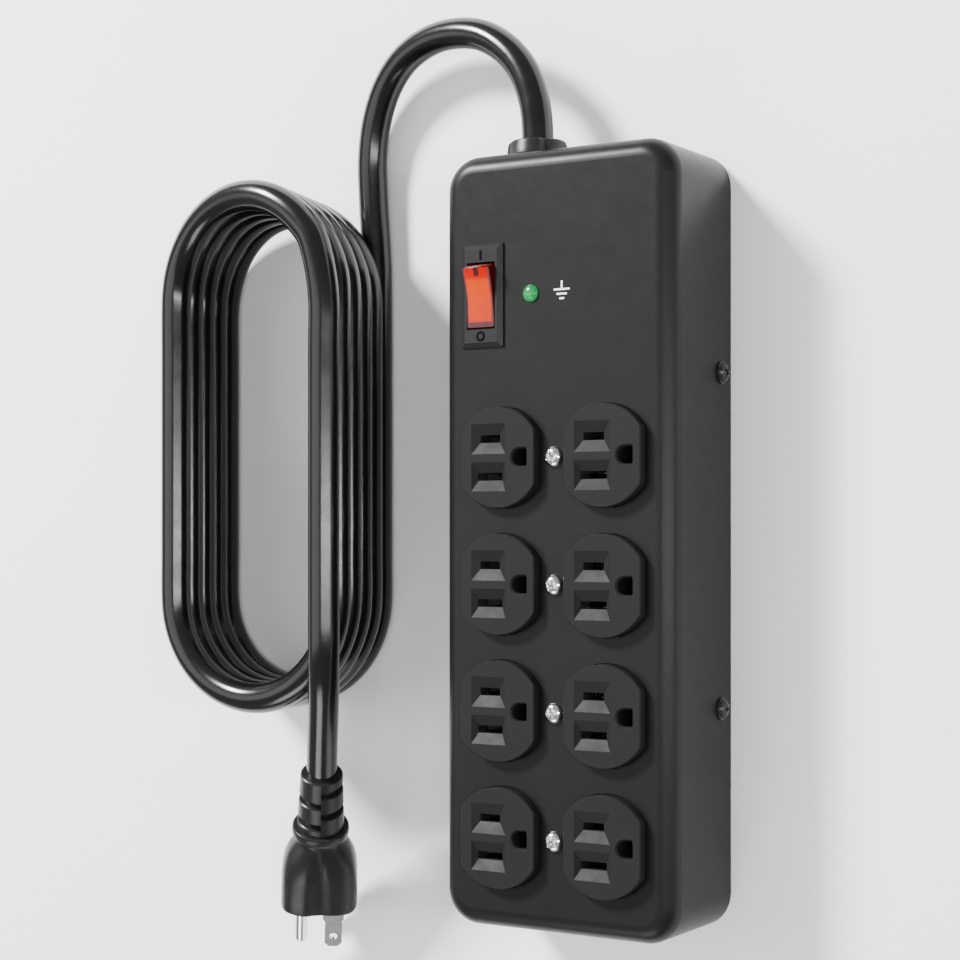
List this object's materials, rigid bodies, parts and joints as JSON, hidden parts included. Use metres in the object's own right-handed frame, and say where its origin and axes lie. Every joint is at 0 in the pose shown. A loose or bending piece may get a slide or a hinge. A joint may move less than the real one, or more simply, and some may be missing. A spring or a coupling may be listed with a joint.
{
  "type": "power strip",
  "caption": "Black sheet-metal power strip with two columns of grounded outlets, a lit rocker switch, an indicator lamp and a coiled mains cord with its plug.",
  "frame": {"origin": "centre of the case's back, at the surface it lies on", "axes": "+X across the two outlet columns, +Y along the case towards the cord end, +Z out of the outlet side"},
  "size_m": [0.2217, 0.3382, 0.0646],
  "materials": {
    "case_paint": "satin black powder coat",
    "black_screw": "black oxide",
    "chrome_screw": "bright nickel plate",
    "fibre_sheet": "pressed fibre",
    "outlet_plastic": "satin moulded",
    "base_plastic": "satin moulded",
    "brass": "stamped",
    "plated_steel": "nickel plated",
    "switch_plastic": "satin moulded",
    "lit_rocker": "translucent, lit",
    "lamp_glass": "clear glass",
    "green_lens": "translucent, lit",
    "board_green": "solder mask",
    "resistor_body": "lacquered",
    "cord_jacket": "glossy vinyl",
    "plug_plastic": "moulded vinyl",
    "wire_black": "insulated wire",
    "wire_white": "insulated wire",
    "wire_green": "insulated wire",
    "green_screw": "green dyed"
  },
  "bodies": {
    "case": {"front_cover": "case_paint", "back_plate": "case_paint", "side_screws": "black_screw", "outlet_screws": "chrome_screw", "insulation_sheet": "fibre_sheet", "outlet_face_1": "outlet_plastic", "outlet_face_2": "outlet_plastic", "outlet_face_3": "outlet_plastic", "outlet_face_4": "outlet_plastic", "outlet_base_1": "base_plastic", "outlet_base_2": "base_plastic", "outlet_base_3": "base_plastic", "outlet_base_4": "base_plastic", "hot_contact_1": "brass", "hot_contact_2": "brass", "hot_contact_3": "brass", "hot_contact_4": "brass", "neutral_contact_1": "plated_steel", "neutral_contact_2": "plated_steel", "neutral_contact_3": "plated_steel", "neutral_contact_4": "plated_steel", "ground_strap_1": "plated_steel", "ground_strap_2": "plated_steel", "ground_strap_3": "plated_steel", "ground_strap_4": "plated_steel", "switch_housing": "switch_plastic", "rocker_pin": "plated_steel", "lever_cradle": "brass", "fixed_contact": "brass", "lamp_terminal": "plated_steel", "switch_lamp": "lamp_glass", "led_lens": "green_lens", "indicator_board": "board_green", "board_resistor": "resistor_body", "cord_bushing": "switch_plastic", "cord_lead": "cord_jacket", "cord_coil": "cord_jacket", "cord_tail": "cord_jacket", "plug_body": "plug_plastic", "plug_hot_blade": "plated_steel", "plug_neutral_blade": "plated_steel", "plug_ground_pin": "plated_steel", "wire_hot": "wire_black", "wire_hot_feed": "wire_black", "wire_neutral": "wire_white", "wire_ground": "wire_green", "ground_screw": "green_screw"},
    "rocker": {"switch_rocker": "lit_rocker"},
    "lever": {"contact_lever": "brass"}
  },
  "joints": [
    {"name": "rocker_hinge", "type": "hinge", "parent": "case", "child": "rocker", "pos_m": [-0.0274, 0.0826, 0.0426], "axis": [1, 0, 0], "range_deg": [-20, 0]},
    {"name": "lever_hinge", "type": "hinge", "parent": "case", "child": "lever", "pos_m": [-0.0274, 0.0826, 0.0295], "axis": [1, 0, 0], "range_deg": [0, 12]}
  ],
  "couplings": [
    {"joint": "lever_hinge", "follows": "rocker_hinge", "ratio": -0.6}
  ]
}
